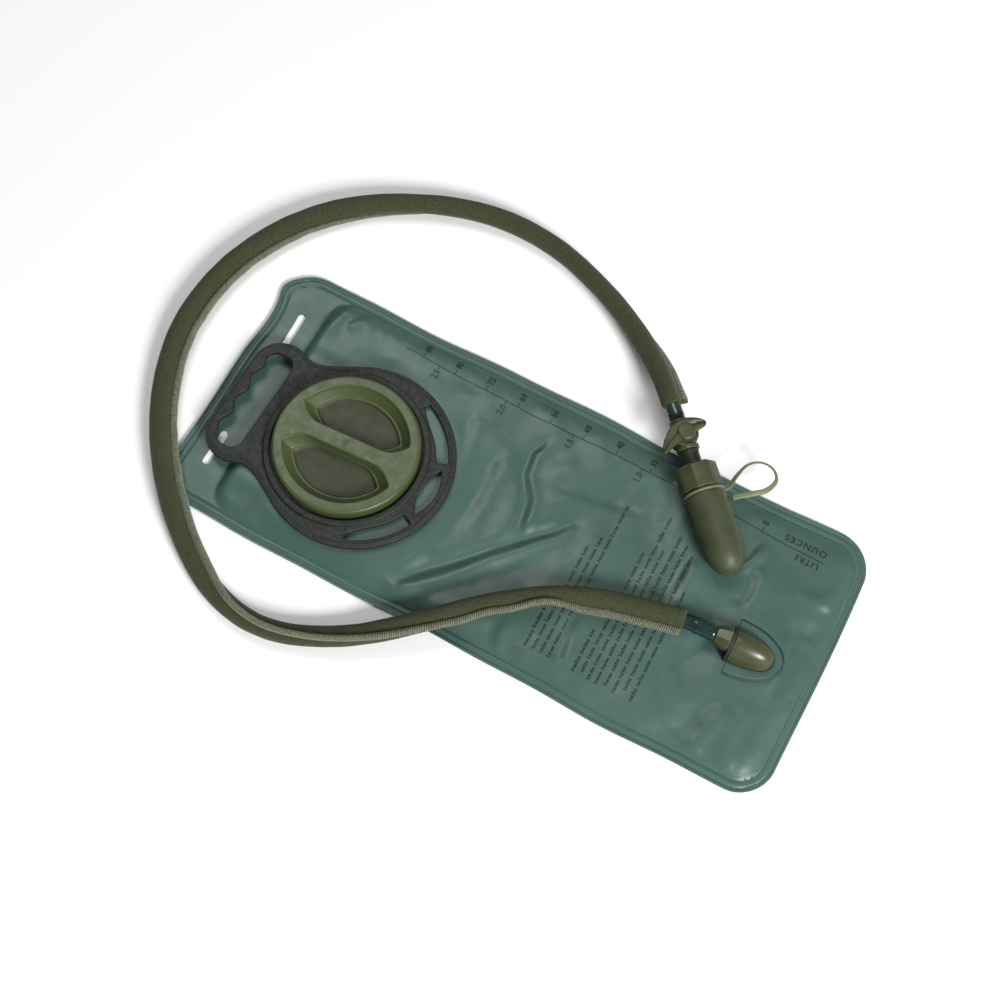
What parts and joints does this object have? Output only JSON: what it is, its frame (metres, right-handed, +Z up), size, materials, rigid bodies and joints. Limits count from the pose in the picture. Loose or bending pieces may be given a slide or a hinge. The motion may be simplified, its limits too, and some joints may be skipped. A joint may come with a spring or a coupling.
{
  "type": "hydration bladder",
  "caption": "Flat welded film water reservoir with a screw filler cap in a carry collar, a sleeved drinking hose, a shut-off valve and a covered bite valve.",
  "frame": {"origin": "middle of the reservoir, on the surface it lies on", "axes": "+X along the reservoir from the filler end to the hose outlet, +Y across it, towards the volume scale, +Z up, out of the front film"},
  "size_m": [0.4487, 0.322, 0.0321],
  "materials": {
    "film": "satin",
    "collar": "matt",
    "cap": "satin",
    "port": "gloss",
    "rubber": "matt",
    "tube": "gloss",
    "sleeve": "woven",
    "valve": "satin",
    "stem": "matt",
    "silicone": "satin",
    "strap": "satin",
    "cover": "satin"
  },
  "bodies": {
    "root": {"back_film": "film", "front_film": "film", "filler_neck": "collar", "handle_collar": "collar", "outlet_port": "port", "outlet_seal": "rubber", "connector_oring": "rubber", "hose_connector": "port", "drinking_tube": "tube", "tube_sleeve": "sleeve", "valve_body": "valve", "mouth_stem": "stem", "stem_oring": "rubber", "bite_collar": "valve", "bite_valve": "silicone", "cover_tether": "strap"},
    "cap_seal": {"cap_gasket": "rubber"},
    "cap": {"cap_shell": "cap"},
    "lever": {"shutoff_lever": "valve", "valve_spindle": "stem", "spindle_oring": "rubber"},
    "cover": {"bite_cover": "cover"}
  },
  "joints": [
    {"name": "cap_lift", "type": "slide", "parent": "root", "child": "cap_seal", "axis": [0, 0, 1], "range_m": [0, 0.04]},
    {"name": "cap_turn", "type": "hinge", "parent": "cap_seal", "child": "cap", "pos_m": [-0.1083, -0.0113, 0.0152], "axis": [0, 0, 1], "range_deg": [0, 400]},
    {"name": "lever_turn", "type": "hinge", "parent": "root", "child": "lever", "pos_m": [0.06661, 0.08982, 0.0257], "axis": [0, 0, 1], "range_deg": [-16, 74]},
    {"name": "cover_pull", "type": "slide", "parent": "root", "child": "cover", "axis": [0.6909, -0.723, 0], "range_m": [0, 0.03]}
  ]
}
